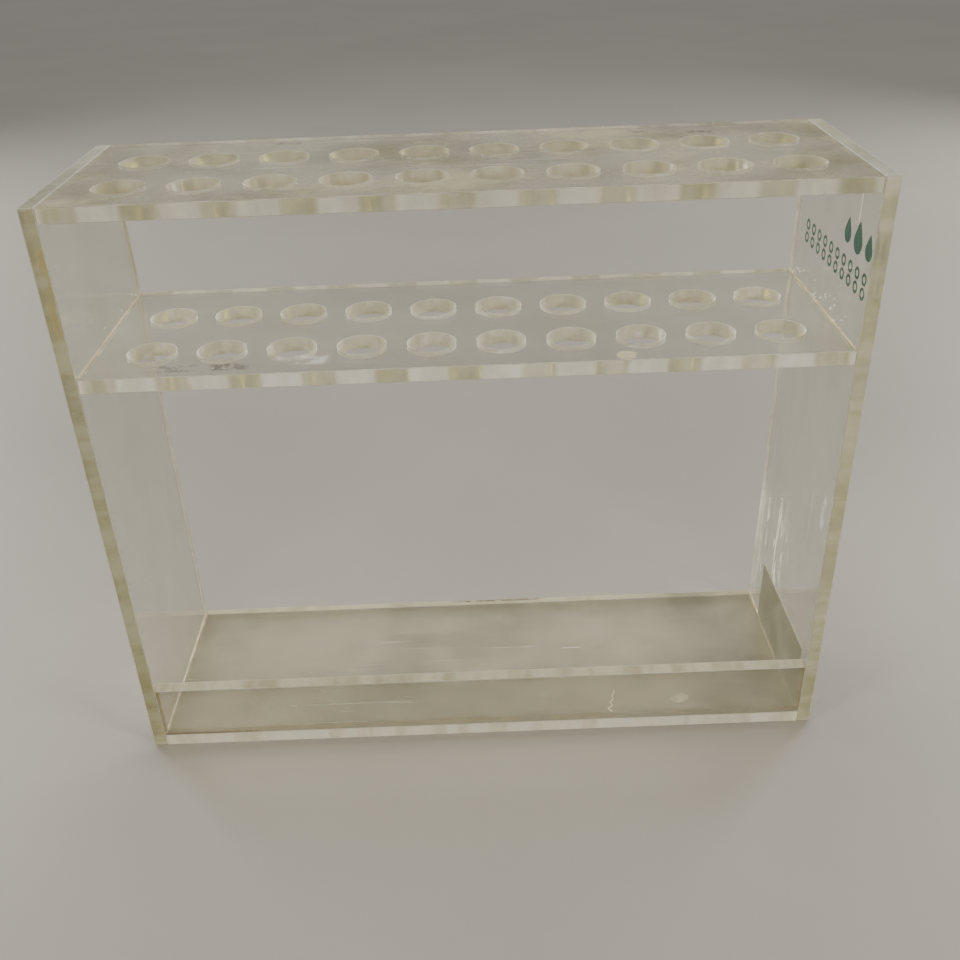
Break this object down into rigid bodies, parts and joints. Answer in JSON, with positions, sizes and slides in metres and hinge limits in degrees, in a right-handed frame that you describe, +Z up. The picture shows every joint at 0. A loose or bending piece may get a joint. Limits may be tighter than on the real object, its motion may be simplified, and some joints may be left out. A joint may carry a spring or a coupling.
{
  "type": "column rack",
  "caption": "Free-standing clear acrylic rack that holds small chromatography columns upright through two drilled shelves, over a base plate with a front lip.",
  "frame": {"origin": "centre of the footprint, on the bench under the base plate", "axes": "+X along the rack to its right end, +Y from the lip side to the back, +Z up"},
  "size_m": [0.3302, 0.1016, 0.2725],
  "materials": {
    "left_end_panel": "clear cast acrylic, glossy faces with scuffs, sawn edges gone cream with an amber stain",
    "right_end_panel": "clear cast acrylic, glossy faces with white scuffs, sawn cream edges, a plain green printed mark",
    "top_shelf": "clear cast acrylic, hazed and dusty upper face, cream sawn edges and hole walls",
    "middle_shelf": "clear cast acrylic, light scratches, cream sawn edges and hole walls",
    "base_plate": "clear cast acrylic, dull dusty upper face, yellowed sawn edges",
    "front_lip": "clear cast acrylic with dried smears",
    "side_label": "dark olive film, dull, slightly worn"
  },
  "bodies": {
    "root": {"left_end_panel": "left_end_panel", "right_end_panel": "right_end_panel", "top_shelf": "top_shelf", "middle_shelf": "middle_shelf", "base_plate": "base_plate", "front_lip": "front_lip", "side_label": "side_label"}
  },
  "joints": []
}
